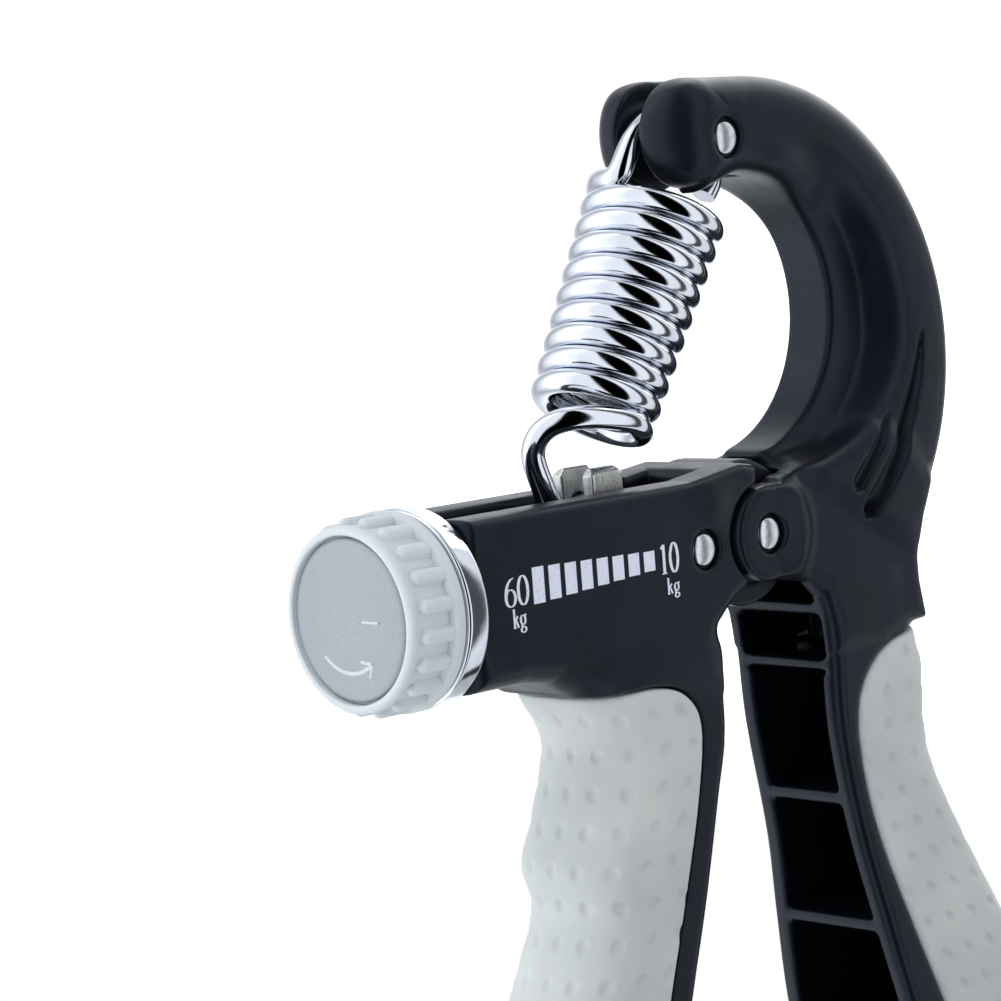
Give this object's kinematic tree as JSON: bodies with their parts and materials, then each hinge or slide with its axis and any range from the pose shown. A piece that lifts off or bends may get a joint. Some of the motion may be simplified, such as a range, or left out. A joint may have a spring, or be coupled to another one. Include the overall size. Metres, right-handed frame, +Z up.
{
  "type": "hand grip strengthener",
  "caption": "Spring-loaded hand exerciser: two pivoted handles with soft grips, a tension spring and a knob that moves the spring's lower end along the arm.",
  "frame": {"origin": "centre of the bounding box on the plane the two handle ends stand on", "axes": "+Z up along the handles, +X from the adjusting knob towards the palm grip, +Y across the thickness"},
  "size_m": [0.1274, 0.028, 0.1649],
  "materials": {
    "black_plastic": "satin black moulded plastic",
    "grey_rubber": "matt light grey soft grip rubber",
    "chrome": "bright chrome plate",
    "steel": "plain turned steel",
    "nickel": "brushed nickel plate",
    "brass": "plain brass",
    "pale_plastic": "satin pale blue-grey plastic",
    "dark_nylon": "matt dark nylon"
  },
  "bodies": {
    "rear_frame": {"rear_handle": "black_plastic", "rear_grip": "grey_rubber", "main_pivot_pin": "chrome", "spring_top_pin": "chrome"},
    "front_lever": {"front_handle": "black_plastic", "front_grip": "grey_rubber", "bearing_pin": "chrome", "collar_ring": "chrome", "screw_front_bearing": "dark_nylon", "screw_end_bearing": "dark_nylon"},
    "knob_and_screw": {"adjusting_screw": "steel", "thrust_washer": "brass", "retaining_clip": "steel", "knob_hub": "dark_nylon", "knob_fixing_screw": "steel", "knob_grip_ring": "grey_rubber", "knob_cap": "pale_plastic"},
    "slider": {"slider_carriage": "nickel", "slider_pin": "steel"},
    "spring_top_end": {"spring_top_hook": "chrome"},
    "spring_upper": {"spring_upper_coil": "chrome"},
    "spring_lower": {"spring_lower_coil": "chrome"},
    "spring_bottom_end": {"spring_bottom_hook": "chrome"}
  },
  "joints": [
    {"name": "handle_squeeze", "type": "hinge", "parent": "rear_frame", "child": "front_lever", "pos_m": [0.00515, 0, 0.1015], "axis": [0, -1, 0], "range_deg": [0, 28], "stiffness_Nm_per_rad": 18, "springref_deg": -9.57},
    {"name": "knob_spin", "type": "hinge", "parent": "front_lever", "child": "knob_and_screw", "pos_m": [-0.05485, 0, 0.099], "axis": [1, 0, 0], "range_deg": [-3853, 397]},
    {"name": "slider_travel", "type": "slide", "parent": "front_lever", "child": "slider", "axis": [1, 0, 0], "range_m": [-0.0214, 0.0022]},
    {"name": "spring_setting_swing", "type": "hinge", "parent": "rear_frame", "child": "spring_top_end", "pos_m": [0.004, 0, 0.1563], "axis": [0, -1, 0], "range_deg": [-16.6, 1.8], "deforming": ["spring_top_hook"]},
    {"name": "spring_squeeze_swing", "type": "hinge", "parent": "spring_top_end", "child": "spring_upper", "pos_m": [0.004, 0, 0.1563], "axis": [0, -1, 0], "range_deg": [0, 4.9], "deforming": ["spring_upper_coil"]},
    {"name": "spring_setting_stretch", "type": "slide", "parent": "spring_upper", "child": "spring_lower", "axis": [-0.4951, 0, -0.8688], "range_m": [-0.00125, 0.01208], "deforming": ["spring_lower_coil"]},
    {"name": "spring_squeeze_stretch", "type": "slide", "parent": "spring_lower", "child": "spring_bottom_end", "axis": [-0.4951, 0, -0.8688], "range_m": [0, 0.0112], "deforming": ["spring_bottom_hook"]}
  ],
  "couplings": [
    {"joint": "knob_spin", "follows": "slider_travel", "rad_per_m": 3141.6},
    {"joint": "spring_setting_swing", "follows": "slider_travel", "rad_per_m": 13.459},
    {"joint": "spring_setting_stretch", "follows": "slider_travel", "ratio": -0.56297},
    {"joint": "spring_squeeze_swing", "follows": "handle_squeeze", "ratio": 0.17236},
    {"joint": "spring_squeeze_stretch", "follows": "handle_squeeze", "m_per_rad": 0.022621}
  ]
}
